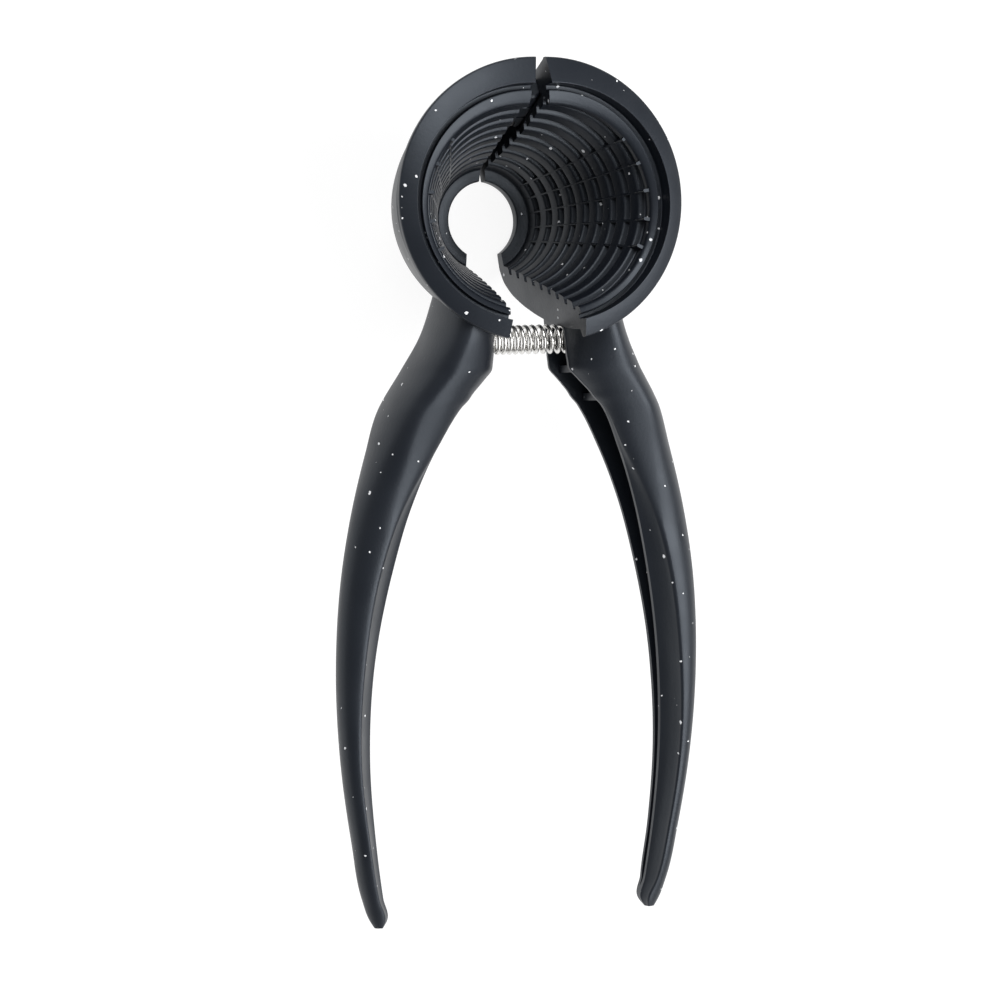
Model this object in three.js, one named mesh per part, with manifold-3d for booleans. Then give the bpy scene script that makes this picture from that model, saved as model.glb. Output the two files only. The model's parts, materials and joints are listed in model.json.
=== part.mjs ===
// A cone nutcracker. Two cast halves, each one half of a ringed cone and one curved channel
// handle, turn on a slanted hinge pin at the back of the cone, and a coil spring in the necks
// holds them open. Millimetres. +Z is the cone's axis with the mouth on top, the handles run
// to -Y, and the two halves mirror each other in the plane x = 0. The parts are drawn with
// z = 0 at the rim, and the last lines stand the whole on its lowest point.

import * as THREE from "three";
import { mergeVertices } from "three/addons/utils/BufferGeometryUtils.js";
import Module from "manifold-3d";

const wasm = await Module();
wasm.setup();

// ---- Driving dimensions -------------------------------------------------------------------

const OPEN_HALF_ANGLE = THREE.MathUtils.degToRad(7.65); // each half's turn from parallel faces

// From the middle plane to a split face, with the halves turned until the faces are parallel.
// At the back the gap narrows toward the small end, and behind the hinge axis the faces slope
// back by the opening angle, so that they stand a little apart when the halves are open.
const SPLIT = { halfGap: 1.4, smallEnd: 0.1, narrowsBelow: -20, stop: 0.2, frontTo: 5 };

// The hinge axis starts in the rim's plane and leans with the cone's back wall.
const HINGE_Y = 27;
const HINGE_LEAN = THREE.MathUtils.degToRad(19.8);
const KNUCKLE = { radius: 2.2, start: 9, length: 5.2, gap: 0.4 };
const PIN = { radius: 1.1, clearance: 0.3, start: 10.5, chamfer: 0.25 };
const BOSS = { radius: 3.4, from: 2.2, to: 26 }; // the thick back of the cone round the hinge

const MOUTH_RADIUS = 24;
const CONE_DEPTH = 46.5;
const LIP = { radius: 8.5, height: 2.9, ledge: 1.4, fall: 0.4 };
const RIM = { radius: 28.6, towardSplit: 0.8, towardHinge: 0.9, fall: 1.65, bottom: -3.8 };
const BEAD = { outer: 22.9, inner: 20.7, top: -2.4, bottom: -5.2, groove: -3.8 };
const RING = { count: 9, first: 6.7, pitch: 4.28, land: 2.6, depth: 1.4, draft: 0.2 };
const CREST = { radius: 20, from: 8, slope: 0.305, bend: 0.0015 };
const WALL_SEGMENTS = 44;
const BORE_SEGMENTS = 36;
const BELLY = [ // the outer wall's radius and height
  [26.0, -3], [25.7, -10], [24.2, -20], [22.0, -28],
  [19.8, -35], [17.2, -41], [14.4, -45], [11.4, -CONE_DEPTH],
];
const BELLY_WIDTH = 1.07; // the outer wall is this much wider across than front to back
const CONE_DRIFT = { x0: -0.9, xPerZ: 0.0326, yPerZ: 0.02 }; // the cone's centre, by height

// The handle's section at a few distances down from the mouth's centre: the inner edge, the
// outermost point and its height, the front ridge, the front crown, the back, and the width
// and height of the sloping panel between ridge and front.
const HANDLE_STATIONS = [
  // down, inX, outX, outZ, ridgeZ, crownZ, backZ, panelX, panelZ
  [18, 6.4, 19.6, -18.0, -13.0, -4.8, -25.2, 0.2, 0.3],
  [27, 7.7, 21.8, -21.0, -13.5, -4.8, -27.3, 0.2, 0.3],
  [33, 8.6, 25.2, -22.8, -13.5, -6.8, -28.0, 0.2, 0.3],
  [41, 15.3, 29.9, -24.4, -13.4, -9.9, -28.7, 0.2, 0.4],
  [50, 20.1, 32.9, -24.0, -16.8, -13.6, -29.6, 0.4, 1.3],
  [61, 24.4, 35.9, -24.0, -20.1, -16.9, -30.2, 2.2, 2.4],
  [74, 27.9, 38.3, -24.8, -23.1, -19.1, -30.9, 3.1, 3.2],
  [94, 31.4, 39.7, -26.6, -27.0, -22.0, -32.0, 3.0, 4.3],
  [114, 32.3, 38.8, -28.7, -29.6, -24.8, -33.5, 2.8, 4.1],
  [132, 31.0, 36.3, -31.0, -31.5, -27.4, -35.2, 2.0, 3.4],
  [144, 29.4, 34.0, -32.9, -33.0, -29.8, -36.6, 1.4, 2.5],
  [149, 28.6, 32.2, -33.4, -33.5, -31.6, -35.8, 0.7, 1.3],
  [150.3, 29.4, 31.4, -33.4, -33.5, -32.4, -34.6, 0.3, 0.6],
];
// The crown's place between the panel and the outermost point: midway at the neck, and close to
// the panel further down.
const CROWN = { atNeck: 0.54, below: 0.14, from: 41, to: 67 };
const BACK_LIP = { reach: 0.6, from: 36, full: 42, fade: 100 }; // the back edge stands inward
const HANDLE_STEPS = 21;
const CHANNEL = { frontWall: 1.0, backWall: 1.5, outerWall: 2.0, start: 31, end: 147 };
const RIBS = [{ y: -33.5, width: 1.5 }, { y: -39.5, width: 1.5 }];

const SPRING = { radius: 2.7, wire: 0.4, y: -27.2, z: -17.6, halfLength: 18.9, turns: 17 };
const POCKET = { minY: -32.7, maxY: -23.4, minZ: -21.2, maxZ: -14.1, floorX: 19.7 };
const POST = { radius: 1.7, length: 3 };

// ---- Materials ----------------------------------------------------------------------------

const blackCoat = new THREE.MeshStandardMaterial({ color: 0x191b20, roughness: 0.5, metalness: 0.1 });
const steel = new THREE.MeshStandardMaterial({ color: 0xb9bcc0, roughness: 0.28, metalness: 1 });

// ---- Solids -------------------------------------------------------------------------------

function signedVolume(position, index) {
  const [a, b, c] = [new THREE.Vector3(), new THREE.Vector3(), new THREE.Vector3()];
  let sum = 0;
  for (let i = 0; i < index.length; i += 3) {
    a.fromArray(position, 3 * index[i]);
    b.fromArray(position, 3 * index[i + 1]);
    c.fromArray(position, 3 * index[i + 2]);
    sum += a.dot(b.cross(c));
  }
  return sum / 6;
}

// A closed geometry as a manifold solid, with its shared points joined and its faces outward.
function toSolid(geometry) {
  const bare = geometry.clone();
  bare.deleteAttribute("normal");
  bare.deleteAttribute("uv");
  const merged = mergeVertices(bare, 1e-4);
  const vertProperties = Float32Array.from(merged.attributes.position.array);
  const corners = [];
  const all = merged.index.array;
  for (let i = 0; i < all.length; i += 3) {
    const [a, b, c] = [all[i], all[i + 1], all[i + 2]];
    if (a !== b && b !== c && c !== a) corners.push(a, b, c);
  }
  if (signedVolume(vertProperties, corners) < 0) corners.reverse();
  const triVerts = Uint32Array.from(corners);
  return new wasm.Manifold(new wasm.Mesh({ numProp: 3, vertProperties, triVerts }));
}

function toGeometry(solid) {
  const mesh = solid.getMesh();
  const geometry = new THREE.BufferGeometry();
  geometry.setAttribute("position", new THREE.BufferAttribute(mesh.vertProperties, 3));
  geometry.setIndex(new THREE.BufferAttribute(mesh.triVerts, 1));
  geometry.computeVertexNormals();
  return geometry;
}

function mirrored(geometry) {
  const twin = geometry.clone().scale(-1, 1, 1);
  twin.index.array.reverse();
  twin.computeVertexNormals();
  return twin;
}

function box(min, max) {
  const size = new THREE.Vector3().subVectors(max, min);
  const centre = new THREE.Vector3().addVectors(min, max).multiplyScalar(0.5);
  return new THREE.BoxGeometry(size.x, size.y, size.z).translate(centre.x, centre.y, centre.z);
}

// A closed solid through a row of convex rings with the same number of points.
function loft(rings) {
  const count = rings[0].length;
  const index = [];
  for (let r = 0; r + 1 < rings.length; r++) {
    for (let i = 0; i < count; i++) {
      const a = r * count + i;
      const b = r * count + ((i + 1) % count);
      index.push(a, b, b + count, a, b + count, a + count);
    }
  }
  const last = (rings.length - 1) * count;
  for (let i = 1; i + 1 < count; i++) {
    index.push(0, i + 1, i);
    index.push(last, last + i, last + i + 1);
  }
  const geometry = new THREE.BufferGeometry().setFromPoints(rings.flat());
  geometry.setIndex(index);
  return geometry;
}

// ---- The hinge's frame --------------------------------------------------------------------

const hingeTop = new THREE.Vector3(0, HINGE_Y, 0);
const hingeAxis = new THREE.Vector3(0, Math.sin(HINGE_LEAN), Math.cos(HINGE_LEAN));

// Turns the right half from parallel split faces to its open rest place.
const toOpen = new THREE.Matrix4()
  .makeTranslation(hingeTop.x, hingeTop.y, hingeTop.z)
  .multiply(new THREE.Matrix4().makeRotationAxis(hingeAxis, OPEN_HALF_ANGLE))
  .multiply(new THREE.Matrix4().makeTranslation(-hingeTop.x, -hingeTop.y, -hingeTop.z));

// A cylinder on the hinge axis, from one distance below the rim's plane to another.
function onHinge(geometry, middle) {
  const upright = new THREE.Quaternion().setFromUnitVectors(new THREE.Vector3(0, 1, 0), hingeAxis);
  const place = hingeTop.clone().addScaledVector(hingeAxis, -middle);
  return geometry.applyQuaternion(upright).translate(place.x, place.y, place.z);
}

function hingeCylinder(radius, from, to) {
  return onHinge(new THREE.CylinderGeometry(radius, radius, to - from, 24), (from + to) / 2);
}

function knuckleSpan(number) {
  const from = KNUCKLE.start + number * (KNUCKLE.length + KNUCKLE.gap);
  return [from, from + KNUCKLE.length];
}

// The pin stops level with the last knuckle, which is open below it.
function pinEnd() {
  return knuckleSpan(2)[1];
}

// ---- The cone jaw -------------------------------------------------------------------------

// The ring crests' radius: a cone that narrows a little slower toward its small end.
function crestRadius(z) {
  const down = -z - CREST.from;
  return CREST.radius - CREST.slope * down + CREST.bend * down * down;
}

// Turns a profile of (radius, z) about the cone's axis, then leans it with the cone's drift.
function turned(profile, segments) {
  const points = profile.map(([r, z]) => new THREE.Vector2(r, z));
  const geometry = new THREE.LatheGeometry(points, segments).rotateX(Math.PI / 2);
  const p = geometry.attributes.position;
  for (let i = 0; i < p.count; i++) {
    const z = p.getZ(i);
    p.setX(i, p.getX(i) + CONE_DRIFT.x0 + CONE_DRIFT.xPerZ * z);
    p.setY(i, p.getY(i) + CONE_DRIFT.yPerZ * z);
  }
  return geometry;
}

// The rounded outer wall below the rim, as a solid of revolution a little wider across.
function bellySolid() {
  const wall = new THREE.SplineCurve(BELLY.map(([r, z]) => new THREE.Vector2(r, z)));
  const side = wall.getPoints(12).map((v) => [v.x, v.y]);
  const geometry = turned([[0, side[0][1]], ...side, [0, -CONE_DEPTH]], WALL_SEGMENTS);
  return toSolid(geometry.scale(BELLY_WIDTH, 1, 1));
}

// The rim: a flange whose face falls outward from the mouth to a larger circle, which is set
// off toward the split and the hinge.
function rimSolid() {
  const circle = (radius, x, y, z) => {
    const points = new THREE.EllipseCurve(x, y, radius, radius).getPoints(WALL_SEGMENTS);
    return points.slice(0, -1).map((p) => new THREE.Vector3(p.x, p.y, z));
  };
  const outerX = CONE_DRIFT.x0 - RIM.towardSplit;
  return toSolid(loft([
    circle(MOUTH_RADIUS, CONE_DRIFT.x0, 0, 0),
    circle(RIM.radius, outerX, RIM.towardHinge, -RIM.fall),
    circle(RIM.radius, outerX, RIM.towardHinge, RIM.bottom),
  ]));
}

// What the mouth, the bead, the rings and the small hole leave open.
function boreSolid() {
  const profile = [[0, 1], [MOUTH_RADIUS, 1], [MOUTH_RADIUS, BEAD.groove], [BEAD.outer, BEAD.groove]];
  const beadMiddle = (BEAD.outer + BEAD.inner) / 2;
  profile.push([BEAD.outer, BEAD.top - 0.5], [beadMiddle, BEAD.top], [BEAD.inner, BEAD.top - 0.7]);
  profile.push([BEAD.inner, BEAD.bottom]);
  for (let k = 0; k < RING.count; k++) {
    const top = -RING.first - k * RING.pitch;
    const bottom = top - RING.land;
    const above = Math.min(top + RING.pitch - RING.land, BEAD.bottom);
    profile.push([crestRadius(above) + RING.depth, above - RING.draft]);
    profile.push([crestRadius(top) + RING.depth, top + RING.draft]);
    profile.push([crestRadius(top), top], [crestRadius(bottom), bottom]);
  }
  const floor = LIP.height - CONE_DEPTH;
  profile.push([LIP.radius + LIP.ledge, floor], [LIP.radius, floor - LIP.fall]);
  profile.push([LIP.radius, -CONE_DEPTH - 1], [0, -CONE_DEPTH - 1]);
  return toSolid(turned(profile, BORE_SEGMENTS));
}

// ---- The handle ---------------------------------------------------------------------------

const handleTable = new THREE.CubicInterpolant(
  HANDLE_STATIONS.map((row) => row[0]),
  HANDLE_STATIONS.flatMap((row) => row.slice(1)),
  HANDLE_STATIONS[0].length - 1,
);

function handleStation(down) {
  const [inX, outX, outZ, ridgeZ, crownZ, backZ, panelX, panelZ] = handleTable.evaluate(down);
  const slim = THREE.MathUtils.clamp((down - CROWN.from) / (CROWN.to - CROWN.from), 0, 1);
  const share = THREE.MathUtils.lerp(CROWN.atNeck, CROWN.below, slim);
  const crownX = inX + panelX + share * (outX - inX - panelX);
  return { inX, outX, outZ, ridgeZ, crownZ, backZ, panelX, panelZ, crownX };
}

// How far the back edge stands inward of the front ridge: nothing at the neck and the tip.
function lipReach(down) {
  const grow = THREE.MathUtils.smoothstep(down, BACK_LIP.from, BACK_LIP.full);
  const fade = THREE.MathUtils.smoothstep(down, BACK_LIP.fade, HANDLE_STATIONS.at(-1)[0]);
  return BACK_LIP.reach * grow * (1 - fade);
}

// Points of a quarter ellipse about (x, z), between two angles in quarter turns.
function quarter(x, z, reachX, reachZ, from, to, count) {
  const points = [];
  for (let i = 0; i < count; i++) {
    const angle = (from + ((to - from) * i) / count) * (Math.PI / 2);
    points.push([x + reachX * Math.cos(angle), z + reachZ * Math.sin(angle)]);
  }
  return points;
}

// The outline across the handle: ridge, sloping panel, rounded front, outer side and back.
function handleOutline(down) {
  const s = handleStation(down);
  const panel = { x: s.inX + s.panelX, z: s.ridgeZ + s.panelZ };
  const outline = [
    [s.inX, s.ridgeZ],
    ...quarter(s.crownX, panel.z, s.crownX - panel.x, s.crownZ - panel.z, 2, 1, 3),
    ...quarter(s.crownX, s.outZ, s.outX - s.crownX, s.crownZ - s.outZ, 1, 0, 4),
    ...quarter(s.crownX, s.outZ, s.outX - s.crownX, s.outZ - s.backZ, 0, -1, 4),
    [s.crownX, s.backZ],
    [s.inX - lipReach(down), s.backZ + 0.3],
  ];
  return outline.map(([x, z]) => new THREE.Vector3(x, -down, z));
}

function handleSolid() {
  const first = HANDLE_STATIONS[0][0];
  const last = HANDLE_STATIONS.at(-1)[0];
  const rings = [];
  for (let i = 0; i <= HANDLE_STEPS; i++) {
    rings.push(handleOutline(first + ((last - first) * i) / HANDLE_STEPS));
  }
  return toSolid(loft(rings));
}

// The open channel along the handle's inner side, left whole at the two cross ribs.
function channelSolid() {
  const rings = [];
  for (let i = 0; i <= HANDLE_STEPS; i++) {
    const down = CHANNEL.start + ((CHANNEL.end - CHANNEL.start) * i) / HANDLE_STEPS;
    const s = handleStation(down);
    const top = s.ridgeZ - CHANNEL.frontWall;
    const bottom = s.backZ + CHANNEL.backWall;
    const floorX = Math.max(s.outX - CHANNEL.outerWall, s.inX + 0.8);
    const outline = [
      [s.inX - 4, top], [s.crownX - 0.5, top], [floorX, (top + bottom) / 2],
      [s.crownX - 0.5, bottom], [s.inX - 4, bottom],
    ];
    rings.push(outline.map(([x, z]) => new THREE.Vector3(x, -down, z)));
  }
  let channel = toSolid(loft(rings));
  for (const rib of RIBS) {
    const low = new THREE.Vector3(0, rib.y - rib.width / 2, -40);
    const high = new THREE.Vector3(40, rib.y + rib.width / 2, 0);
    channel = channel.subtract(toSolid(box(low, high)));
  }
  return channel;
}

// The pocket in the neck that takes the spring's end, with the post that centres it.
function springPocketSolid() {
  const low = new THREE.Vector3(0, POCKET.minY, POCKET.minZ);
  const high = new THREE.Vector3(POCKET.floorX, POCKET.maxY, POCKET.maxZ);
  const post = new THREE.CylinderGeometry(POST.radius, POST.radius, POST.length + 1, 16);
  post.rotateZ(Math.PI / 2).translate(POCKET.floorX + (1 - POST.length) / 2, SPRING.y, SPRING.z);
  return toSolid(box(low, high)).subtract(toSolid(post));
}

// ---- One cast half ------------------------------------------------------------------------

// The back split face's edge at one height: straight at first, and behind the hinge axis, from
// where it would come closer than the stop allows, sloping back by the opening angle.
function backEdge(z) {
  const toEnd = THREE.MathUtils.clamp((z - SPLIT.narrowsBelow) / (-CONE_DEPTH - SPLIT.narrowsBelow), 0, 1);
  const gap = THREE.MathUtils.lerp(SPLIT.halfGap, SPLIT.smallEnd, toEnd);
  const slope = Math.tan(OPEN_HALF_ANGLE) * Math.cos(HINGE_LEAN);
  const axisY = HINGE_Y + z * Math.tan(HINGE_LEAN);
  const far = 60;
  return [
    new THREE.Vector3(gap, SPLIT.frontTo - 1, z),
    new THREE.Vector3(gap, axisY + (gap - SPLIT.stop) / slope, z),
    new THREE.Vector3(SPLIT.stop + (far - axisY) * slope, far, z),
  ];
}

// Everything on the right of the split faces: a box at the front, and a loft at the back.
function beyondSplitSolid() {
  const right = 80;
  const front = box(new THREE.Vector3(SPLIT.halfGap, -200, -80), new THREE.Vector3(right, SPLIT.frontTo, 20));
  const rings = [20, 0, SPLIT.narrowsBelow, -CONE_DEPTH, -CONE_DEPTH - 4].map((z) => {
    const edge = backEdge(z);
    const across = (p) => new THREE.Vector3(right, p.y, z);
    return [across(edge[0]), across(edge[2]), ...edge.reverse()];
  });
  return toSolid(front).add(toSolid(loft(rings)));
}

// The right half, open, with its own knuckles and with room for the other half's.
function castHalf(ownKnuckles, otherKnuckles) {
  let half = bellySolid().add(rimSolid()).transform(toOpen.toArray());
  half = half.add(handleSolid()).add(toSolid(hingeCylinder(BOSS.radius, BOSS.from, BOSS.to)));
  half = half.subtract(channelSolid()).subtract(springPocketSolid());
  half = half.intersect(beyondSplitSolid().transform(toOpen.toArray()));
  for (const number of otherKnuckles) {
    const [from, to] = knuckleSpan(number);
    const { radius, gap } = KNUCKLE;
    half = half.subtract(toSolid(hingeCylinder(radius + gap, from - gap, to + gap)));
  }
  for (const number of ownKnuckles) {
    half = half.add(toSolid(hingeCylinder(KNUCKLE.radius, ...knuckleSpan(number))));
  }
  half = half.subtract(boreSolid().transform(toOpen.toArray()));
  const pinHole = hingeCylinder(PIN.radius + PIN.clearance, PIN.start - PIN.clearance, pinEnd() + 1);
  return toGeometry(half.subtract(toSolid(pinHole)));
}

// ---- Pin and spring -----------------------------------------------------------------------

function pinGeometry() {
  const { radius, start, chamfer } = PIN;
  const length = pinEnd() - start;
  const profile = [
    [0, 0], [radius - chamfer, 0], [radius, chamfer],
    [radius, length - chamfer], [radius - chamfer, length], [0, length],
  ];
  const points = profile.map(([r, y]) => new THREE.Vector2(r, y - length / 2));
  return onHinge(new THREE.LatheGeometry(points, 20), start + length / 2);
}

class Helix extends THREE.Curve {
  getPoint(t, target = new THREE.Vector3()) {
    const angle = 2 * Math.PI * SPRING.turns * t;
    const x = SPRING.halfLength * (2 * t - 1);
    const y = SPRING.y + SPRING.radius * Math.cos(angle);
    return target.set(x, y, SPRING.z + SPRING.radius * Math.sin(angle));
  }
}

function springGeometry() {
  const wire = new THREE.Shape().absarc(0, 0, SPRING.wire, 0, 2 * Math.PI);
  const steps = SPRING.turns * 8;
  const extrudePath = new Helix();
  return new THREE.ExtrudeGeometry(wire, { curveSegments: 3, steps, extrudePath });
}

// ---- The assembly -------------------------------------------------------------------------

function named(name, geometry, material) {
  const mesh = new THREE.Mesh(geometry, material);
  mesh.name = name;
  return mesh;
}

const nutcracker = new THREE.Group();
nutcracker.add(named("jaw_handle_left", mirrored(castHalf([0, 2], [1])), blackCoat));
nutcracker.add(named("jaw_handle_right", castHalf([1], [0, 2]), blackCoat));
nutcracker.add(named("hinge_pin", toGeometry(toSolid(pinGeometry())), steel));
nutcracker.add(named("coil_spring", toGeometry(toSolid(springGeometry())), steel));

const bounds = new THREE.Box3().setFromObject(nutcracker);
nutcracker.position.set(0, -(bounds.min.y + bounds.max.y) / 2, -bounds.min.z);

export default nutcracker;
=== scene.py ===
# %% [markdown]
# # A cone nutcracker, as a lesson in numpy surfaces
# The tool is two cast halves and a coil spring. Each half has a half cone with rings inside,
# and a hollow, curved handle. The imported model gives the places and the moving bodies, and
# this script builds the fine shapes around it. Lengths here are in millimetres, measured from
# the middle of the cone's mouth, and `place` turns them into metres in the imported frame.

# %% Load the frame
import json
import math

import bpy
import numpy as np
from mathutils import Matrix, Vector


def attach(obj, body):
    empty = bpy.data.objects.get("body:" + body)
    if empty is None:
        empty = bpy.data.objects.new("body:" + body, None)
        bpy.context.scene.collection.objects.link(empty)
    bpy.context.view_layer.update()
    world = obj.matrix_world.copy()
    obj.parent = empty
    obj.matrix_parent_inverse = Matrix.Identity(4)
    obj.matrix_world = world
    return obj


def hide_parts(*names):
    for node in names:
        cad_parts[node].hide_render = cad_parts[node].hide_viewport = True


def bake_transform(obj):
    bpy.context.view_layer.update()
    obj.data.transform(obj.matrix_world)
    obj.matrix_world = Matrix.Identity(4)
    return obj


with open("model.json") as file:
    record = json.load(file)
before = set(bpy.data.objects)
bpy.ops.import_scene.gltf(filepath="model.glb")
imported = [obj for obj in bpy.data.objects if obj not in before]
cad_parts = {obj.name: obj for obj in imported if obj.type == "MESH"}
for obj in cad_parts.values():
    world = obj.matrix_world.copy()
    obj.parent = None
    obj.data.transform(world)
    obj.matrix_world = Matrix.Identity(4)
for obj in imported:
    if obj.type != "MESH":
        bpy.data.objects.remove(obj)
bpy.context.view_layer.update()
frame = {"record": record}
LEFT, RIGHT = "left_half", "right_half"
HINGE_TOP = np.array([0.0, 27.0, 0.0])
hinge = next(j for j in frame["record"]["behaviour"]["joints"] if j["name"] == "squeeze")
SHIFT = np.array(hinge["pos_m"]) * 1000 - HINGE_TOP
print("the mouth's centre is at", SHIFT.round(3), "mm")


# %% [markdown]
# Every piece goes through the same three helpers. `place` moves points into the frame,
# `grid_faces` joins a grid of points into four-sided faces, and `mesh_piece` hands whole
# arrays to Blender, with no loop over the points.

# %% Mesh helpers
def place(points):
    return (np.asarray(points, float) + SHIFT) / 1000


def grid_faces(rows, columns, wrap=False):
    """Row r and column c of a grid is point r * columns + c, and each face joins four
    neighbours. With wrap, the last column joins the first one."""
    r, c = np.meshgrid(np.arange(rows - 1), np.arange(columns - (not wrap)), indexing="ij")
    d = (c + 1) % columns
    quads = (r * columns + c, r * columns + d, (r + 1) * columns + d, (r + 1) * columns + c)
    return np.stack(quads, axis=-1).reshape(-1, 4)


def volume(points, faces):
    """Six times the volume is the sum, over the triangles of each face's fan, of a . (b x c)."""
    p = np.asarray(points, float)
    total = 0.0
    for size in {len(f) for f in faces}:
        f = np.array([face for face in faces if len(face) == size])
        for i in range(1, size - 1):
            total += np.einsum("ij,ij->", p[f[:, 0]], np.cross(p[f[:, i]], p[f[:, i + 1]]))
    return total / 6


def mesh_piece(name, points, faces):
    """A closed mesh whose volume comes out negative has its faces the wrong way round."""
    if volume(points, faces) < 0:
        faces = [list(f)[::-1] for f in faces]
    mesh = bpy.data.meshes.new(name)
    mesh.from_pydata(place(points).tolist(), [], [list(f) for f in faces])
    mesh.validate()
    obj = bpy.data.objects.new(name, mesh)
    bpy.context.scene.collection.objects.link(obj)
    return obj


def tube_points(rings):
    """A closed tube from an array of rings, shaped (rings, points, 3), with both ends filled."""
    count, around = rings.shape[:2]
    faces = grid_faces(count, around, wrap=True).tolist()
    faces.append(list(range(around))[::-1])
    faces.append([(count - 1) * around + i for i in range(around)])
    return rings.reshape(-1, 3), faces


def smooth_table(table, at):
    """Reads a table, whose first column is the distance, at many distances: a cubic runs
    between two rows, and its slope at a row is the slope between that row's neighbours."""
    x, y = table[:, 0], table[:, 1:]
    slope = np.gradient(y, x, axis=0)
    i = np.clip(np.searchsorted(x, at) - 1, 0, len(x) - 2)
    h = (x[i + 1] - x[i])[:, None]
    t = ((at - x[i])[:, None]) / h
    return (
        (2 * t**3 - 3 * t**2 + 1) * y[i]
        + (t**3 - 2 * t**2 + t) * h * slope[i]
        + (3 * t**2 - 2 * t**3) * y[i + 1]
        + (t**3 - t**2) * h * slope[i + 1]
    )


# %% [markdown]
# A solid can be added to or cut from another with a Boolean modifier. The result is read back
# as a plain mesh at once, so no live modifier is left on the piece.

# %% Solid helpers
def settled(obj):
    """The object's mesh as its modifiers leave it, with the modifiers gone."""
    graph = bpy.context.evaluated_depsgraph_get()
    mesh = bpy.data.meshes.new_from_object(obj.evaluated_get(graph))
    old = obj.data
    obj.modifiers.clear()
    obj.data = mesh
    mesh.name = obj.name
    bpy.data.meshes.remove(old)
    return obj


def combine(obj, tool, operation):
    step = obj.modifiers.new("combine", "BOOLEAN")
    step.operation, step.object, step.solver = operation, tool, "MANIFOLD"
    settled(obj)
    bpy.data.objects.remove(tool)
    return obj


def box(name, low, high):
    corners = np.array([[x, y, z] for x in (0, 1) for y in (0, 1) for z in (0, 1)])
    faces = [(0, 1, 3, 2), (4, 6, 7, 5), (0, 4, 5, 1), (2, 3, 7, 6), (0, 2, 6, 4), (1, 5, 7, 3)]
    low, high = np.array(low, float), np.array(high, float)
    return mesh_piece(name, low + corners * (high - low), faces)


# %% [markdown]
# The hinge axis leans with the cone's back wall. Each half is drawn with its split face
# straight, at a constant x, and then turned 7.65 degrees about that axis to its open place.

# %% The hinge's frame
OPEN_ANGLE = math.radians(7.65)
HINGE_LEAN = math.radians(19.8)
HINGE_AXIS = np.array([0, math.sin(HINGE_LEAN), math.cos(HINGE_LEAN)])


def turn_open(points):
    """Turns points about the hinge axis by Rodrigues' formula: the part along the axis stays,
    and the part across it turns."""
    v = np.asarray(points, float) - HINGE_TOP
    along = (v @ HINGE_AXIS)[..., None] * HINGE_AXIS
    across = v - along
    turned = math.cos(OPEN_ANGLE) * across + math.sin(OPEN_ANGLE) * np.cross(HINGE_AXIS, across)
    return HINGE_TOP + along + turned


def on_hinge(profile, around=48):
    """A solid of revolution about the hinge axis. The profile gives a radius at each distance
    down the axis from its top, and the first and last radius are zero."""
    radius, down = np.array(profile, float).T
    a = np.linspace(0, 2 * np.pi, around, endpoint=False)
    side = np.array([1.0, 0, 0])
    front = np.cross(HINGE_AXIS, side)
    spoke = np.cos(a)[:, None] * side + np.sin(a)[:, None] * front
    rings = HINGE_TOP - down[:, None, None] * HINGE_AXIS + radius[:, None, None] * spoke
    return tube_points(rings[1:-1])


# %% [markdown]
# ## The half cone
# Its section is one closed outline: up the ringed bore, over the bead, across the sloping rim,
# and down the rounded outer wall. A cast part has no sharp corner, so each corner of the
# outline is replaced by a short curve. The outline is then carried round from one split face
# to the other.

# %% The outline of the half cone
MOUTH_RADIUS, CONE_DEPTH, SMALL_HOLE = 24.0, 46.5, 8.5
RINGS, FIRST_RING, RING_PITCH, RING_LAND, RING_DEPTH = 9, 6.7, 4.28, 2.6, 1.4
RIM_RADIUS, RIM_FALL, RIM_EDGE = 28.7, 1.65, 3.4
BELLY_WIDTH = 1.07


def cone_centre(z):
    """The cone leans a little: its centre drifts in x and y with the height."""
    return -0.9 + 0.0326 * z, 0.02 * z


def crest_radius(z):
    """The radius that the rings' crests reach at each height, along a slightly bent line."""
    down = -z - 8.0
    return 20.0 - 0.305 * down + 0.0015 * down**2


def bore_corners():
    """Corners of the bore from the small hole up to the mouth, as radius, height, corner size."""
    rows = [(SMALL_HOLE, -CONE_DEPTH, 0.4), (SMALL_HOLE, -44.0, 0.3), (9.9, -43.7, 0.2)]
    for k in reversed(range(RINGS)):
        top = -FIRST_RING - k * RING_PITCH
        low = top - RING_LAND
        rows.append((crest_radius(low), low, 0.35))
        rows.append((crest_radius(top), top, 0.45))
        rows.append((crest_radius(top) + RING_DEPTH, top + 0.2, 0.3))
        roof = min(top + RING_PITCH - RING_LAND, -5.2)
        rows.append((crest_radius(roof) + RING_DEPTH - 0.1, roof - 0.1, 0.3))
    rows += [(20.7, -5.2, 0.4), (20.7, -3.1, 0.9), (22.9, -2.3, 0.35), (22.95, -3.8, 0.3)]
    rows += [(MOUTH_RADIUS, -3.8, 0.3), (MOUTH_RADIUS, 0.0, 0.2)]
    return np.array(rows)


# The outer wall: radius, height, corner size.
WALL = np.array([
    (RIM_RADIUS, -RIM_FALL, 0.5), (RIM_RADIUS, -RIM_EDGE, 0.5), (26.1, -4.1, 0.5),
    (25.7, -10, 2.4), (24.2, -20, 2.4), (22.1, -28, 2.4), (19.8, -35, 2.4),
    (17.2, -41, 1.8), (14.4, -45, 1.3), (11.6, -CONE_DEPTH, 0.7),
])


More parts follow.
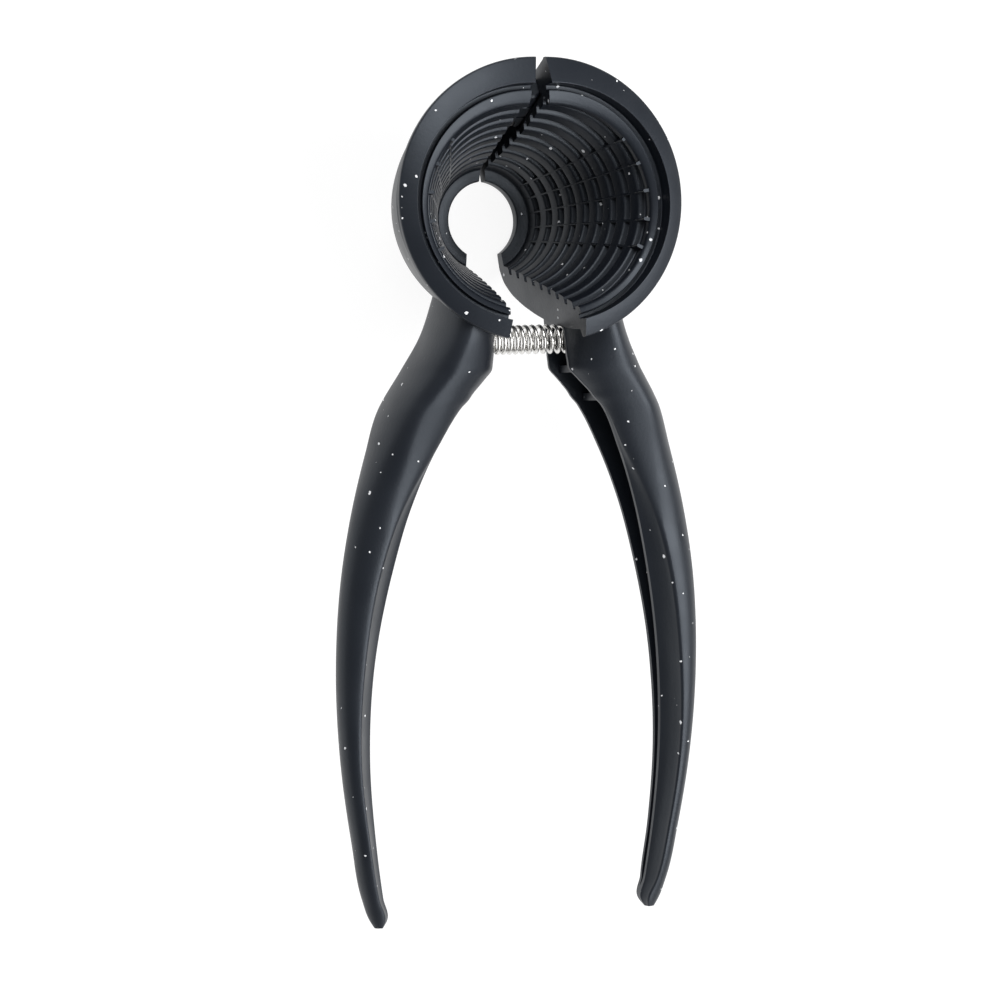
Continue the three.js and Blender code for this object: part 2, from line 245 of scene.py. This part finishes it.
def rounded(corners, steps=5):
    """Replaces each corner by a parabola that starts and ends the corner's size away from it."""
    size = corners[:, 2:3]
    back = np.roll(corners, 1, axis=0) - corners
    ahead = np.roll(corners, -1, axis=0) - corners
    a = corners + back * np.minimum(size / np.linalg.norm(back[:, :2], axis=1)[:, None], 0.45)
    b = corners + ahead * np.minimum(size / np.linalg.norm(ahead[:, :2], axis=1)[:, None], 0.45)
    t = np.linspace(0, 1, steps)[:, None, None]
    curve = (1 - t) ** 2 * a + 2 * t * (1 - t) * corners + t**2 * b
    return curve.transpose(1, 0, 2).reshape(-1, corners.shape[1])


def head_outline():
    """Columns: radius, height, corner size, stretch in x, and the centre's offset in x and y.
    The rim's outer circle is set off toward the split and the hinge, and the wall below it is
    a little wider across than front to back."""
    bore = bore_corners()
    bore = np.hstack([bore, np.tile([1.0, 0, 0], (len(bore), 1))])
    bore[-2:, 3:] = [1.015, 0, 0]
    bore[-6:-4, 3:] = [1.03, 0, -0.7]
    wall = np.hstack([WALL, np.tile([BELLY_WIDTH, 0, 0], (len(WALL), 1))])
    wall[:2, 3:] = [1.0, -0.8, 0.9]
    return rounded(np.vstack([bore, wall]))


outline = head_outline()
print("the half cone's outline has", len(outline), "points")


# %% [markdown]
# The outline is swept a little past the middle plane, and the part beyond the split faces is
# then cut away, so that the ends of the rings stand in the faces as a crisp comb. The front face
# is one plane. The back gap narrows toward the small end, and behind the hinge axis its faces
# slope back by the opening angle, where they meet when the tool opens fully.

# %% The half cone as a surface
SPLIT_GAP, SMALL_END_GAP, GAP_NARROWS, STOP_GAP, FRONT_TO = 1.4, 0.1, -20.0, 0.2, 5.0
SWEPT_PAST = -1.0


def head_surface(outline, columns):
    """Point (s, t) is the outline's point s, turned about the cone's axis by t times the angle
    at which that point meets the plane x = SWEPT_PAST."""
    radius, z, _, stretch, off_x, off_y = outline.T
    x0, y0 = cone_centre(z)
    x0, y0 = x0 + off_x, y0 + off_y
    limit = np.arccos(np.clip((SWEPT_PAST - x0) / (stretch * radius), -1, 1))
    angle = np.linspace(-1, 1, columns)[:, None] * limit
    x = x0 + stretch * radius * np.cos(angle)
    y = y0 + radius * np.sin(angle)
    return np.stack([x, y, np.broadcast_to(z, x.shape)], axis=-1)


def back_edges(z):
    """The back split face at each height z: straight out to where the stop begins, and then
    sloping. Returns x and y of its three corners, as arrays shaped (heights, 3)."""
    part = np.clip((z - GAP_NARROWS) / (-CONE_DEPTH - GAP_NARROWS), 0, 1)
    gap = SPLIT_GAP + (SMALL_END_GAP - SPLIT_GAP) * part
    slope = math.tan(OPEN_ANGLE) * math.cos(HINGE_LEAN)
    axis_y = HINGE_TOP[1] + z * math.tan(HINGE_LEAN)
    last = 60 + 0 * z
    x = np.stack([gap, gap, STOP_GAP + (last - axis_y) * slope], axis=-1)
    y = np.stack([0 * z, axis_y + (gap - STOP_GAP) / slope, last], axis=-1)
    return x, y


def beyond_split(low_y):
    """Two solids that hold everything on the far side of the split faces: a box in front, from
    low_y to the middle, and a loft behind."""
    z = np.array([20, 0, GAP_NARROWS, -CONE_DEPTH, -CONE_DEPTH - 4])
    x, y = back_edges(z)
    far = -60 + 0 * x[:, :1]
    x = np.concatenate([x, far, far], axis=1)
    y = np.concatenate([y, y[:, 2:], y[:, :1]], axis=1)
    rings = np.stack([x, y, np.broadcast_to(z[:, None], x.shape)], axis=-1)
    corners = np.array([[-60, low_y], [SPLIT_GAP, low_y], [SPLIT_GAP, FRONT_TO], [-60, FRONT_TO]])
    front = np.stack([np.column_stack([corners, np.full(4, h)]) for h in (20.0, -60.0)])
    return [mesh_piece("beyond", *tube_points(turn_open(r))) for r in (front, rings)]


def cut_at_split(obj, low_y=-60):
    for solid in beyond_split(low_y):
        combine(obj, solid, "DIFFERENCE")
    return obj


# %% Knuckles and their clearance
def bore_room():
    """A plain cone, a little wider than the ring grooves."""
    rows = np.array([(25.0, 2), (25.0, -5), (22.3, -6), (12.6, -44), (9.4, -48)])
    a = np.linspace(0, 2 * np.pi, 64, endpoint=False)
    radius, z = rows[:, :1], rows[:, 1:]
    x0, y0 = cone_centre(z)
    x = x0 + radius * np.cos(a)
    y = y0 + radius * np.sin(a)
    rings = np.stack([x, y, np.broadcast_to(z, x.shape)], axis=-1)
    return tube_points(turn_open(rings))


KNUCKLE_RADIUS, KNUCKLE_GAP = 2.2, 0.4
KNUCKLE_SPANS = [(9.0, 14.2), (14.6, 19.8), (20.2, 25.4)]
PIN_BORE, PIN_RADIUS, PIN_SPAN = 1.4, 1.1, (10.5, 25.4)
PIN_ROOM_ABOVE, PIN_ROOM_BELOW, KNUCKLE_SOFT, PIN_SOFT = 0.3, 1.0, 0.4, 0.25
BOSS_RADIUS, BOSS_SPAN = 3.4, (2.2, 26.0)


def barrel(radius, start, end, soft=0.0):
    """A cylinder on the hinge axis whose end corners are cut back by soft."""
    rows = [(0, start), (radius - soft, start), (radius, start + soft)]
    rows += [(radius, end - soft), (radius - soft, end), (0, end)]
    if soft == 0:
        rows = [(0, start), (radius, start), (radius, end), (0, end)]
    return mesh_piece("barrel", *on_hinge(rows))


def add_boss(obj):
    """The thick back of the cone round the hinge, which the split face cuts in two."""
    boss = barrel(BOSS_RADIUS, *BOSS_SPAN)
    combine(boss, mesh_piece("bore room", *bore_room()), "DIFFERENCE")
    return combine(obj, boss, "UNION")


def hinge_cuts(obj, own, other):
    """Makes room for the other half's knuckles, adds this half's own, and bores the pin's hole."""
    for n in other:
        start, end = KNUCKLE_SPANS[n]
        room = barrel(KNUCKLE_RADIUS + KNUCKLE_GAP, start - KNUCKLE_GAP, end + KNUCKLE_GAP)
        combine(obj, room, "DIFFERENCE")
    for n in own:
        knuckle = barrel(KNUCKLE_RADIUS, *KNUCKLE_SPANS[n], soft=KNUCKLE_SOFT)
        combine(knuckle, mesh_piece("bore room", *bore_room()), "DIFFERENCE")
        combine(obj, knuckle, "UNION")
    start, end = PIN_SPAN
    pin_room = barrel(PIN_BORE, start - PIN_ROOM_ABOVE, end + PIN_ROOM_BELOW)
    return combine(obj, pin_room, "DIFFERENCE")


# %% [markdown]
# ## The fins
# Five thin lengthwise fins stand in the grooves of each half, level with the crests, and grip
# the shell. Each one is a narrow bar with a round inner edge, carried down the bore.

# %% The fins in the grooves
FIN_ANGLES = np.radians([-32, -16, 0, 16, 32])
FIN_HALF = 0.33
FIN_TOP, FIN_END, FIN_ROOT, FIN_SUNK = -3.4, -44.6, 2.2, 0.03
TAB_PROUD, TAB_BELOW, TAB_RAMP, BEAD_REACH = 0.35, -7.3, 0.6, 20.6


def fin_points(angle):
    """A bar along the cone at one angle: across it the edge is a half circle, and along it the
    radius follows the crests. Its end under the bead stands a little proud as a tab."""
    z = np.linspace(FIN_TOP, FIN_END, 90)
    a = np.linspace(-np.pi / 2, np.pi / 2, 9)
    side = np.concatenate([[-FIN_HALF], FIN_HALF * np.sin(a), [FIN_HALF]])
    back = np.concatenate([[FIN_ROOT], FIN_HALF * (1 - np.cos(a)), [FIN_ROOT]]) - FIN_SUNK
    tab = TAB_PROUD * np.clip((z - TAB_BELOW) / TAB_RAMP, 0, 1)
    radius = (np.minimum(crest_radius(z), BEAD_REACH) - tab)[:, None] + back
    x0, y0 = cone_centre(z[:, None])
    x = x0 + radius * math.cos(angle) - side * math.sin(angle)
    y = y0 + radius * math.sin(angle) + side * math.cos(angle)
    return np.stack([x, y, np.broadcast_to(z[:, None], x.shape)], axis=-1)


# %% [markdown]
# ## The handle
# Across, the handle is a hollow half oval: a rounded front, outer side and back, a sloping
# panel at the front inner edge, and an open channel facing the other handle. The whole length
# is a loft through a few sections, and the channel, with its two cross ribs near the neck, is
# cut out of it.

# %% The handle's sections
HANDLE = np.array([
    # down, in x, out x, out z, ridge z, crown z, back z, panel width, panel height
    [16, 6.1, 18.6, -17.0, -12.8, -4.8, -24.6, 0.2, 0.3],
    [27, 7.7, 21.8, -21.0, -13.5, -4.8, -27.3, 0.2, 0.3],
    [33, 8.6, 25.2, -22.8, -13.5, -6.8, -28.0, 0.2, 0.3],
    [41, 15.3, 29.9, -24.4, -13.4, -9.9, -28.7, 0.2, 0.4],
    [50, 20.1, 32.9, -24.0, -16.8, -13.6, -29.6, 0.4, 1.3],
    [61, 24.4, 35.9, -24.0, -20.1, -16.9, -30.2, 2.2, 2.4],
    [74, 27.9, 38.3, -24.8, -23.1, -19.1, -30.9, 3.1, 3.2],
    [94, 31.4, 39.7, -26.6, -27.0, -22.0, -32.0, 3.0, 4.3],
    [114, 32.3, 38.8, -28.7, -29.6, -24.8, -33.5, 2.8, 4.1],
    [132, 31.0, 36.3, -31.0, -31.5, -27.4, -35.2, 2.0, 3.4],
    [144, 29.4, 34.0, -32.9, -33.0, -29.8, -36.6, 1.4, 2.5],
    [149, 28.6, 32.2, -33.4, -33.5, -31.6, -35.8, 0.7, 1.3],
    [150.3, 29.4, 31.4, -33.4, -33.5, -32.4, -34.6, 0.3, 0.6],
])


# The crown's place between the panel and the outer side: at the neck, how much it falls, the
# distance where the fall starts, its length, and its bend.
CROWN_SHARE, CROWN_FALL, CROWN_FROM, CROWN_LENGTH, CROWN_BEND = 0.54, 0.40, 41, 26, 1.5
# How far the back edge stands inward of the front ridge, and where it comes and goes.
BACK_LIP, LIP_FROM, LIP_RISE, LIP_TO, LIP_FADE = 0.6, 36, 6, 150, 50
RIB_PLACES, RIB_HALF, RIB_RECESS = (33.5, 39.5), 0.75, 1.7
RIB_BUMP, BUMP_LENGTH = 0.35, 1.1  # the inner edge bulges a little at each rib


def quarter(x, z, reach_x, reach_z, start, end, count):
    """Part of an ellipse about (x, z), between two angles given in quarter turns."""
    a = np.linspace(start, end, count, endpoint=False) * np.pi / 2
    return np.stack([x + reach_x * np.cos(a), z + reach_z * np.sin(a)], axis=-1)


def handle_rings(down):
    """One ring of points per distance: ridge, panel, crown, outer side, back, inner side."""
    s = smooth_table(HANDLE, down)
    in_x, out_x, out_z, ridge, crown, back, wide, high = (c[:, None] for c in s.T)
    for rib in RIB_PLACES:
        in_x = in_x - RIB_BUMP * np.exp(-(((down[:, None] - rib) / BUMP_LENGTH) ** 2))
    panel_x, panel_z = in_x + wide, ridge + high
    fall = np.clip((down[:, None] - CROWN_FROM) / CROWN_LENGTH, 0, 1) ** CROWN_BEND
    middle = panel_x + (CROWN_SHARE - CROWN_FALL * fall) * (out_x - panel_x)
    along = np.linspace(0, 1, 6, endpoint=False)
    dip = 0.12 * high * np.sin(np.pi * along)
    panel = np.stack([in_x + wide * along, ridge + high * along - dip], axis=-1)
    inner = np.linspace(0, 1, 8, endpoint=False)
    rise = np.clip((down[:, None] - LIP_FROM) / LIP_RISE, 0, 1)
    reach = BACK_LIP * rise * np.clip((LIP_TO - down[:, None]) / LIP_FADE, 0, 1)
    lip_x = in_x - reach * (1 - inner)
    lip = np.stack([lip_x, back + 0.6 + (ridge - back - 0.6) * inner], axis=-1)
    t = np.linspace(0, 1, 12, endpoint=False)
    over_x = panel_x + 0.22 * (middle - panel_x)
    over_z = crown - 0.12 * (crown - panel_z)
    face_x = (1 - t) ** 2 * panel_x + 2 * t * (1 - t) * over_x + t**2 * middle
    face_z = (1 - t) ** 2 * panel_z + 2 * t * (1 - t) * over_z + t**2 * crown
    parts = [
        panel,
        np.stack([face_x, face_z], axis=-1),
        quarter(middle, out_z, out_x - middle, crown - out_z, 1, 0, 14),
        quarter(middle, out_z, out_x - middle, out_z - back, 0, -1, 14),
        np.stack([middle, back], axis=-1),
        np.stack([in_x - reach + 0.5, back + 0.05], axis=-1),
        lip,
    ]
    section = np.concatenate(parts, axis=1)
    y = np.broadcast_to(-down[:, None], section.shape[:2])
    return np.stack([section[..., 0], y, section[..., 1]], axis=-1)


# %% The channel and its ribs
CHANNEL_START, CHANNEL_END = 24.5, 146.0
FRONT_WALL, BACK_WALL, OUTER_WALL = 1.0, 1.5, 2.0


def channel_rings(down):
    """The hollow's section is a rectangle with an oval floor, open at the handle's inner edge."""
    s = smooth_table(HANDLE, down)
    in_x, out_x, _, ridge, _, back = (c[:, None] for c in s.T[:6])
    end = np.sqrt(np.clip((CHANNEL_END - down[:, None]) / 3.0, 0.02, 1))
    top, low = ridge - FRONT_WALL, back + BACK_WALL
    mid, half = (top + low) / 2, (top - low) / 2 * end
    floor = np.maximum(out_x - OUTER_WALL, in_x + 0.8)
    reach = (floor - in_x) * 0.45
    a = np.linspace(np.pi / 2, -np.pi / 2, 15)
    round_x = floor - reach + reach * np.cos(a)
    round_z = mid + half * np.sin(a)
    open_x = in_x - 5 + 0 * mid
    x = np.concatenate([open_x, round_x, open_x], axis=1)
    z = np.concatenate([mid + half, round_z, mid - half], axis=1)
    y = np.broadcast_to(-down[:, None], x.shape)
    return np.stack([x, y, z], axis=-1)


def carve_channel(obj):
    """Cuts the hollow out. Where a box is first taken from the hollow, a rib stays standing."""
    down = np.linspace(CHANNEL_START, CHANNEL_END, 160)
    hollow = mesh_piece("hollow", *tube_points(channel_rings(down)))
    for place_y in RIB_PLACES:
        inner_x = smooth_table(HANDLE, np.array([place_y]))[0, 0]
        low = (inner_x + RIB_RECESS, -place_y - RIB_HALF, -45)
        high = (inner_x + 40, -place_y + RIB_HALF, 0)
        combine(hollow, box("rib", low, high), "DIFFERENCE")
    return combine(obj, hollow, "DIFFERENCE")


# %% [markdown]
# The handle and the cone are one casting. The neck's inner end is cut back by a plain cone a
# little wider than the ring grooves, so that it stays out of the bore, and the two are then
# joined into one solid.

# %% Join the handle to the half cone
NECK_CUT = -28.5  # the split face runs this far down the neck


TIP_FROM = 147.0  # the rings stand closer from here to the rounded tip


def handle_piece(name):
    start, end = HANDLE[0, 0], HANDLE[-1, 0]
    tip = end - (end - TIP_FROM) * np.linspace(1, 0, 14)[1:] ** 2
    down = np.concatenate([np.linspace(start, TIP_FROM, 260), tip])
    handle = mesh_piece(name, *tube_points(handle_rings(down)))
    carve_channel(handle)
    cut_at_split(handle, low_y=NECK_CUT)
    return combine(handle, mesh_piece("bore room", *bore_room()), "DIFFERENCE")


# %% [markdown]
# The left half is the right one mirrored in x, with its faces turned round so that they still
# point outward. Only the knuckles differ.

# %% Build both castings
def mirrored_mesh(obj, name):
    twin = bpy.data.objects.new(name, obj.data.copy())
    bpy.context.scene.collection.objects.link(twin)
    co = np.empty(len(twin.data.vertices) * 3)
    twin.data.vertices.foreach_get("co", co)
    co[0::3] *= -1
    twin.data.vertices.foreach_set("co", co)
    twin.data.flip_normals()
    return twin


def shade(obj, angle=24):
    """Smooth shading, with an edge kept sharp where its faces meet at more than the angle."""
    obj.data.polygons.foreach_set("use_smooth", np.ones(len(obj.data.polygons), bool))
    obj.data.set_sharp_from_angle(angle=math.radians(angle))
    return obj


surface = head_surface(outline, columns=150)
head_points, head_faces = tube_points(turn_open(surface))
head_right = cut_at_split(add_boss(mesh_piece("cone_half_right", head_points, head_faces)))
head_left = mirrored_mesh(head_right, "cone_half_left")
hinge_cuts(head_right, own=[1], other=[0, 2])
hinge_cuts(head_left, own=[0, 2], other=[1])
fins_right = []
for angle in FIN_ANGLES:
    fins_right.append(mesh_piece("fin", *tube_points(turn_open(fin_points(angle)))))
handle_right = handle_piece("handle_right")
handle_left = mirrored_mesh(handle_right, "handle_left")
casting_right = combine(head_right, handle_right, "UNION")
casting_left = combine(head_left, handle_left, "UNION")
casting_right.name, casting_left.name = "casting_right", "casting_left"
print("one casting has", len(casting_right.data.polygons), "faces")


# %% Join the fins and shade
def joined(objs, name):
    with bpy.context.temp_override(active_object=objs[0], selected_editable_objects=objs):
        bpy.ops.object.join()
    objs[0].name = name
    return objs[0]


fins_right = joined(fins_right, "grip_fins_right")
fins_left = mirrored_mesh(fins_right, "grip_fins_left")
for piece in (casting_right, casting_left, fins_right, fins_left):
    shade(piece)

# %% [markdown]
# ## The spring
# A compression spring of bright wire sits across the necks. Its end coils are wound close, and
# the coils between are a little further apart toward the right end.

# %% The coil spring
SPRING_Y, SPRING_Z, SPRING_RADIUS, WIRE = -27.2, -17.6, 2.7, 0.4
SPRING_HALF, SPRING_TURNS = 19.0, 27
# The end coils' closeness and length in turns, and how the pitch grows past a middle place.
CLOSE_COILS, CLOSE_TURNS, WIDER_PITCH, WIDER_FROM, START_ANGLE = 0.45, 1.2, 0.25, 0.56, 0.6


def spring_points(around=10, per_turn=30):
    """The centre line goes round a circle while x grows slowly in the end coils and faster
    between them. The wire's circle stands on the centre line's normal and binormal."""
    n = SPRING_TURNS * per_turn + 1
    turn = np.linspace(0, SPRING_TURNS, n)
    rate = 1 - CLOSE_COILS * np.exp(-((turn / CLOSE_TURNS) ** 2))
    rate = rate - CLOSE_COILS * np.exp(-(((SPRING_TURNS - turn) / CLOSE_TURNS) ** 2))
    rate *= 1 + WIDER_PITCH / (1 + np.exp(-(turn - WIDER_FROM * SPRING_TURNS)))
    x = np.concatenate([[0], np.cumsum((rate[1:] + rate[:-1]) / 2)])
    x = SPRING_HALF * (2 * x / x[-1] - 1)
    a = 2 * np.pi * turn + START_ANGLE
    out = np.stack([0 * a, np.cos(a), np.sin(a)], axis=-1)
    centre = np.stack([x, SPRING_Y + 0 * a, SPRING_Z + 0 * a], axis=-1) + SPRING_RADIUS * out
    forward = np.gradient(centre, axis=0)
    forward /= np.linalg.norm(forward, axis=1)[:, None]
    up = np.cross(forward, out)
    b = np.linspace(0, 2 * np.pi, around, endpoint=False)[:, None]
    ring = np.cos(b) * out[:, None] + np.sin(b) * up[:, None]
    return centre[:, None] + WIRE * ring


spring = shade(mesh_piece("return_spring", *tube_points(spring_points())), 60)
print("the spring has", len(spring.data.polygons), "faces")

# %% The hinge pin
pin = barrel(PIN_RADIUS, *PIN_SPAN, soft=PIN_SOFT)
pin.name = "hinge_pin_round"
shade(pin)


# %% [markdown]
# ## Finishes
# The castings have a satin black coat with a fine grain. The coat is not quite even, so its
# roughness drifts over a few millimetres. Both metals share the grain group.

# %% A grain group
def fine_grain_group():
    """Noise at two sizes: the fine one is the grain's height, the broad one the unevenness."""
    group = bpy.data.node_groups.new("fine grain", "ShaderNodeTree")
    face = group.interface
    scale = face.new_socket("Grain Scale", in_out="INPUT", socket_type="NodeSocketFloat")
    scale.default_value = 1500
    low = face.new_socket("Low Roughness", in_out="INPUT", socket_type="NodeSocketFloat")
    high = face.new_socket("High Roughness", in_out="INPUT", socket_type="NodeSocketFloat")
    low.default_value, high.default_value = 0.4, 0.5
    face.new_socket("Roughness", in_out="OUTPUT", socket_type="NodeSocketFloat")
    face.new_socket("Height", in_out="OUTPUT", socket_type="NodeSocketFloat")
    nodes, links = group.nodes, group.links
    start, end = nodes.new("NodeGroupInput"), nodes.new("NodeGroupOutput")
    where = nodes.new("ShaderNodeTexCoord")
    fine, broad = nodes.new("ShaderNodeTexNoise"), nodes.new("ShaderNodeTexNoise")
    fine.inputs["Detail"].default_value = 2
    broad.inputs["Scale"].default_value = 90
    spread = nodes.new("ShaderNodeMapRange")
    links.new(where.outputs["Object"], fine.inputs["Vector"])
    links.new(where.outputs["Object"], broad.inputs["Vector"])
    links.new(start.outputs["Grain Scale"], fine.inputs["Scale"])
    links.new(broad.outputs["Fac"], spread.inputs["Value"])
    spread.inputs["From Min"].default_value, spread.inputs["From Max"].default_value = 0.3, 0.7
    links.new(start.outputs["Low Roughness"], spread.inputs["To Min"])
    links.new(start.outputs["High Roughness"], spread.inputs["To Max"])
    links.new(spread.outputs["Result"], end.inputs["Roughness"])
    links.new(fine.outputs["Fac"], end.inputs["Height"])
    return group


fine_grain = fine_grain_group()


# %% [markdown]
# Small pale chips are scattered over the coat. Cells of a Voronoi pattern give each chip its
# place, the cell's random colour decides whether it has one, and noise bends its outline.

# %% A chip group
def pale_chips_group():
    """A chip shows where the distance to the cell's point is under a size that differs from
    cell to cell and is zero for nearly half of them."""
    group = bpy.data.node_groups.new("pale chips", "ShaderNodeTree")
    face = group.interface
    face.new_socket("Mask", in_out="OUTPUT", socket_type="NodeSocketFloat")
    nodes, links = group.nodes, group.links
    end = nodes.new("NodeGroupOutput")
    where = nodes.new("ShaderNodeTexCoord")
    bend = nodes.new("ShaderNodeTexNoise")
    bend.inputs["Scale"].default_value = 1300
    shift = nodes.new("ShaderNodeVectorMath")
    shift.operation = "MULTIPLY_ADD"
    shift.inputs[1].default_value = (0.0006,) * 3
    cells = nodes.new("ShaderNodeTexVoronoi")
    cells.inputs["Scale"].default_value = 420
    parts = nodes.new("ShaderNodeSeparateColor")
    chance = nodes.new("ShaderNodeMapRange")
    chance.inputs["From Min"].default_value = 0.45
    chance.inputs["From Max"].default_value = 1.0
    chance.inputs["To Min"].default_value = 0.0
    chance.inputs["To Max"].default_value = 0.16
    edge = nodes.new("ShaderNodeMath")
    edge.operation = "LESS_THAN"
    links.new(where.outputs["Object"], bend.inputs["Vector"])
    links.new(bend.outputs["Color"], shift.inputs[0])
    links.new(where.outputs["Object"], shift.inputs[2])
    links.new(shift.outputs["Vector"], cells.inputs["Vector"])
    links.new(cells.outputs["Color"], parts.inputs["Color"])
    links.new(parts.outputs["Red"], chance.inputs["Value"])
    links.new(cells.outputs["Distance"], edge.inputs[0])
    links.new(chance.outputs["Result"], edge.inputs[1])
    links.new(edge.outputs["Value"], end.inputs["Mask"])
    return group


pale_chips = pale_chips_group()


# %% The materials
COAT = (0.005, 0.0065, 0.010)


def grained(name, base, roughness, metallic, grain_scale, depth):
    material = bpy.data.materials.new(name)
    material.use_nodes = True
    nodes, links = material.node_tree.nodes, material.node_tree.links
    surface = nodes["Principled BSDF"]
    surface.inputs["Base Color"].default_value = (*base, 1)
    surface.inputs["Metallic"].default_value = metallic
    grain = nodes.new("ShaderNodeGroup")
    grain.node_tree = fine_grain
    grain.inputs["Grain Scale"].default_value = grain_scale
    grain.inputs["Low Roughness"].default_value = roughness[0]
    grain.inputs["High Roughness"].default_value = roughness[1]
    bump = nodes.new("ShaderNodeBump")
    bump.inputs["Distance"].default_value = depth
    bump.inputs["Strength"].default_value = 0.6
    links.new(grain.outputs["Roughness"], surface.inputs["Roughness"])
    links.new(grain.outputs["Height"], bump.inputs["Height"])
    links.new(bump.outputs["Normal"], surface.inputs["Normal"])
    return material, surface, nodes, links


def black_coat_material():
    material, surface, nodes, links = grained(
        "satin black coat", COAT, (0.36, 0.46), 0.0, 1500, 0.00004
    )
    chips = nodes.new("ShaderNodeGroup")
    chips.node_tree = pale_chips
    colour = nodes.new("ShaderNodeMix")
    colour.data_type = "RGBA"
    colour.inputs["A"].default_value = (*COAT, 1)
    colour.inputs["B"].default_value = (0.75, 0.76, 0.78, 1)
    surface.inputs["Specular IOR Level"].default_value = 0.45
    surface.inputs["Specular Tint"].default_value = (0.82, 0.9, 1.0, 1)
    links.new(chips.outputs["Mask"], colour.inputs["Factor"])
    links.new(colour.outputs["Result"], surface.inputs["Base Color"])
    return material


black_coat = black_coat_material()
spring_wire = grained("drawn spring wire", (0.72, 0.71, 0.69), (0.2, 0.3), 1.0, 2500, 0.00001)[0]
pin_steel = grained("pin steel", (0.5, 0.5, 0.5), (0.3, 0.4), 1.0, 2500, 0.00001)[0]

# %% Put the pieces on their bodies
for piece, body, node in (
    (casting_left, LEFT, "jaw_handle_left"), (fins_left, LEFT, "jaw_handle_left"),
    (casting_right, RIGHT, "jaw_handle_right"), (fins_right, RIGHT, "jaw_handle_right"),
):
    piece.data.materials.clear()
    piece.data.materials.append(black_coat)
    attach(piece, body)
    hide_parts(node)

pin.data.materials.append(pin_steel)
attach(pin, LEFT)
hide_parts("hinge_pin")

spring.data.materials.append(spring_wire)
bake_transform(spring)
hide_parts("coil_spring")

# %% [markdown]
# ## The studio
# The tool stands on a pale, glowing floor under three large soft lights, with the brightest
# one to the right and above, and in a grey world that a satin coat can reflect.

# %% Floor, world and lights
FLOOR_REACH, FLOOR_GREY, FLOOR_GLOW = 3.0, 0.15, 0.88


def pale_floor():
    """A flat square that glows a little, like a light table, so it stays pale everywhere."""
    mesh = bpy.data.meshes.new("floor")
    signs = ((-1, -1), (1, -1), (1, 1), (-1, 1))
    corners = [(x * FLOOR_REACH, y * FLOOR_REACH, 0) for x, y in signs]
    mesh.from_pydata(corners, [], [(0, 1, 2, 3)])
    obj = bpy.data.objects.new("floor", mesh)
    bpy.context.scene.collection.objects.link(obj)
    material = bpy.data.materials.new("pale floor")
    material.use_nodes = True
    surface = material.node_tree.nodes["Principled BSDF"]
    surface.inputs["Base Color"].default_value = (FLOOR_GREY, FLOOR_GREY, FLOOR_GREY, 1)
    surface.inputs["Roughness"].default_value = 0.9
    surface.inputs["Emission Color"].default_value = (1, 1, 1, 1)
    surface.inputs["Emission Strength"].default_value = FLOOR_GLOW
    mesh.materials.append(material)
    return obj


pale_floor()


def studio_world(overhead, around):
    """The light from a direction runs from its overhead strength down to its strength around
    the horizon, by the direction's height."""
    world = bpy.data.worlds.new("studio")
    world.use_nodes = True
    nodes, links = world.node_tree.nodes, world.node_tree.links
    where = nodes.new("ShaderNodeTexCoord")
    parts = nodes.new("ShaderNodeSeparateXYZ")
    spread = nodes.new("ShaderNodeMapRange")
    spread.interpolation_type = "SMOOTHSTEP"
    spread.inputs["From Min"].default_value, spread.inputs["From Max"].default_value = 0.15, 0.85
    spread.inputs["To Min"].default_value, spread.inputs["To Max"].default_value = around, overhead
    links.new(where.outputs["Generated"], parts.inputs["Vector"])
    links.new(parts.outputs["Z"], spread.inputs["Value"])
    links.new(spread.outputs["Result"], nodes["Background"].inputs["Strength"])
    nodes["Background"].inputs["Color"].default_value = (1, 1, 1, 1)
    return world


bpy.context.scene.world = studio_world(overhead=0.3, around=0.35)


def soft_light(name, where, aim, size, power):
    light = bpy.data.lights.new(name, "AREA")
    light.shape, light.size, light.energy = "DISK", size, power
    obj = bpy.data.objects.new(name, light)
    bpy.context.scene.collection.objects.link(obj)
    obj.location = Vector(where)
    obj.rotation_euler = (Vector(aim) - Vector(where)).to_track_quat("-Z", "Y").to_euler()
    return obj


soft_light("key", (0.45, -0.1, 0.65), (0, 0, 0.02), 0.8, 8.5)
soft_light("top", (-0.2, 0.55, 0.6), (0, 0.05, 0.02), 0.5, 4)
soft_light("front", (0.3, -0.7, 0.45), (0, 0, 0.02), 0.5, 2)

# %% [markdown]
# ## The camera
# It looks down into the mouth from a little to the left, and is rolled by a degree and a half.

# %% Camera
TOWARD = np.array([-0.29797, 0.04285, 0.95361])
AIM = np.array([-11.62, -59.47, 0.0])
DISTANCE, ROLL, LENS = 600.0, math.radians(-1.5), 107.46


def camera_matrix():
    right = np.cross([0, 1, 0], TOWARD)
    right /= np.linalg.norm(right)
    up = np.cross(TOWARD, right)
    rolled = math.cos(ROLL) * right + math.sin(ROLL) * up
    up = -math.sin(ROLL) * right + math.cos(ROLL) * up
    where = place(AIM + DISTANCE * TOWARD)
    rows = np.column_stack([rolled, up, TOWARD, where])
    return Matrix(np.vstack([rows, [0, 0, 0, 1]]).tolist())


camera_data = bpy.data.cameras.new("camera")
camera_data.lens, camera_data.sensor_width = LENS, 36
camera = bpy.data.objects.new("camera", camera_data)
bpy.context.scene.collection.objects.link(camera)
camera.matrix_world = camera_matrix()
bpy.context.scene.camera = camera
bpy.context.scene.view_settings.view_transform = "Standard"
